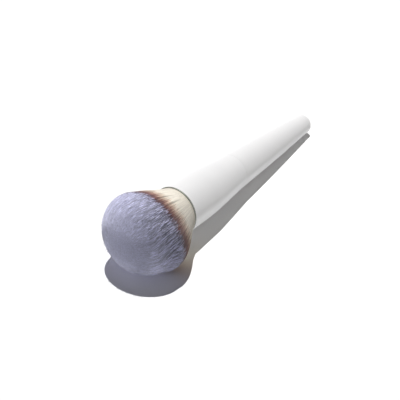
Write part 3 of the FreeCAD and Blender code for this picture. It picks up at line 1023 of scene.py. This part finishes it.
# %% [markdown]
# ## The table
#
# The brush lies on a plain white table. It is a matt white, and it is lit just enough to come out as
# pure white where nothing shades it.

# %% A white table
TABLE_SIZE = 3
TABLE_DROP = 0.01 * MM      # keeps the table's face clear of the brush's
THROWN_BACK = 0.78          # how much of the light the table throws back on the brush

bpy.ops.mesh.primitive_plane_add(size=TABLE_SIZE, location=(0, 0, -TABLE_DROP))
table = bpy.context.object
table.name = "table"
white, nodes, links = new_material("white_table")
path = nodes.new("ShaderNodeLightPath")
table_tint = add(nodes, "ShaderNodeMapRange", To_Min=1.0, To_Max=THROWN_BACK)
links.new(path.outputs["Is Diffuse Ray"], table_tint.inputs["Value"])
links.new(table_tint.outputs["Result"], nodes["Principled BSDF"].inputs["Base Color"])
adjust(nodes["Principled BSDF"], Specular_IOR_Level=0, Roughness=1)
table.data.materials.append(white)

# %% [markdown]
# ## The sky
#
# A faint warm sky fills the brush's shadow. It is too dim to look at, so whatever looks past the table,
# straight, in a reflection or through something clear, sees plain white instead.

# %% A dim sky that looks white
SKY_STRENGTH = 0.055
SKY_TINT = (1, 0.96, 0.86, 1)
PLAIN_WHITE = (1, 1, 1, 1)

sky = bpy.data.worlds.new("sky")
bpy.context.scene.world = sky
sky.use_nodes = True
nodes, links = sky.node_tree.nodes, sky.node_tree.links
adjust(nodes["Background"], Color=SKY_TINT, Strength=SKY_STRENGTH)
plain_white = add(nodes, "ShaderNodeBackground", Color=PLAIN_WHITE, Strength=1.0)
path = nodes.new("ShaderNodeLightPath")
seen = path.outputs["Is Camera Ray"]
for ray in ("Is Glossy Ray", "Is Transmission Ray"):
    more = add(nodes, "ShaderNodeMath", operation="MAXIMUM")
    links.new(seen, more.inputs[0])
    links.new(path.outputs[ray], more.inputs[1])
    seen = more.outputs["Value"]
either = nodes.new("ShaderNodeMixShader")
links.new(seen, either.inputs["Fac"])
links.new(nodes["Background"].outputs["Background"], either.inputs[1])
links.new(plain_white.outputs["Background"], either.inputs[2])
links.new(either.outputs["Shader"], nodes["World Output"].inputs["Surface"])

# %% [markdown]
# ## Lamps
#
# A single high sun gives the crisp, flat grey shadow. It stands behind the brush, so the shadow falls
# towards the camera.
#
# Two faint lamps that cast no shadow shape the round head. One comes in level from the left. The other
# comes up from under the front, as if thrown back by the bright table.

# %% A sun and two faint lamps
SUN_HEADING = math.radians(-145.9)
SUN_HEIGHT = math.radians(78.6)
SUN_STRENGTH = 3.1
SUN_WIDTH = math.radians(1)         # gives the shadow its crisp edge
SIDE_HEADING = math.radians(-74)
SIDE_HEIGHT = math.radians(1)
SIDE_STRENGTH = 1.1
BOUNCE_HEADING = math.radians(45)
BOUNCE_HEIGHT = math.radians(-30)
BOUNCE_STRENGTH = 0.4
LAMP_WIDTH = math.radians(30)


def direction(heading, height):
    """A direction given by its heading and its height above the table's level, in radians."""
    level = math.cos(height)
    return Vector((math.cos(heading) * level, math.sin(heading) * level, math.sin(height)))


def add_sun(name, heading, height, strength, width, shadow):
    """A distant lamp whose light travels along a heading, down from a height above the table."""
    bpy.ops.object.light_add(type="SUN")
    lamp = bpy.context.object
    lamp.name = name
    lamp.data.energy = strength
    lamp.data.angle = width
    lamp.data.use_shadow = shadow
    lamp.rotation_mode = "QUATERNION"
    lamp.rotation_quaternion = direction(heading, -height).to_track_quat("-Z", "Y")
    return lamp


sun = add_sun("sun", SUN_HEADING, SUN_HEIGHT, SUN_STRENGTH, SUN_WIDTH, True)
side_lamp = add_sun("side_lamp", SIDE_HEADING, SIDE_HEIGHT, SIDE_STRENGTH, LAMP_WIDTH, False)
bounce_lamp = add_sun("bounce_lamp", BOUNCE_HEADING, BOUNCE_HEIGHT, BOUNCE_STRENGTH, LAMP_WIDTH, False)
print("lamps:", [lamp.name for lamp in (sun, side_lamp, bounce_lamp)])

# %% [markdown]
# ## Camera
#
# The camera looks down on the head from in front and to one side, close enough for the head to look much
# larger than the handle's end.

# %% Camera
AIM = Vector((-13.64, 7.95, 1.62)) * MM
DISTANCE = 330 * MM
AZIMUTH = math.radians(-145.3363)
ELEVATION = math.radians(33.3764)
ROLL = math.radians(0.8661)
LENS = 60.77            # focal length and width of the sensor, in mm
SENSOR = 36
NEAREST = 10 * MM       # nothing nearer to the lens than this is drawn

back = direction(AZIMUTH, ELEVATION)
camera = bpy.data.objects.new("camera", bpy.data.cameras.new("camera"))
bpy.context.scene.collection.objects.link(camera)
camera.location = AIM + back * DISTANCE
camera.rotation_mode = "QUATERNION"
level_view = (-back).to_track_quat("-Z", "Y")
camera.rotation_quaternion = level_view @ Matrix.Rotation(-ROLL, 3, "Z").to_quaternion()
camera.data.lens = LENS
camera.data.sensor_width = SENSOR
camera.data.clip_start = NEAREST
bpy.context.scene.camera = camera
bpy.context.scene.view_settings.view_transform = "Standard"
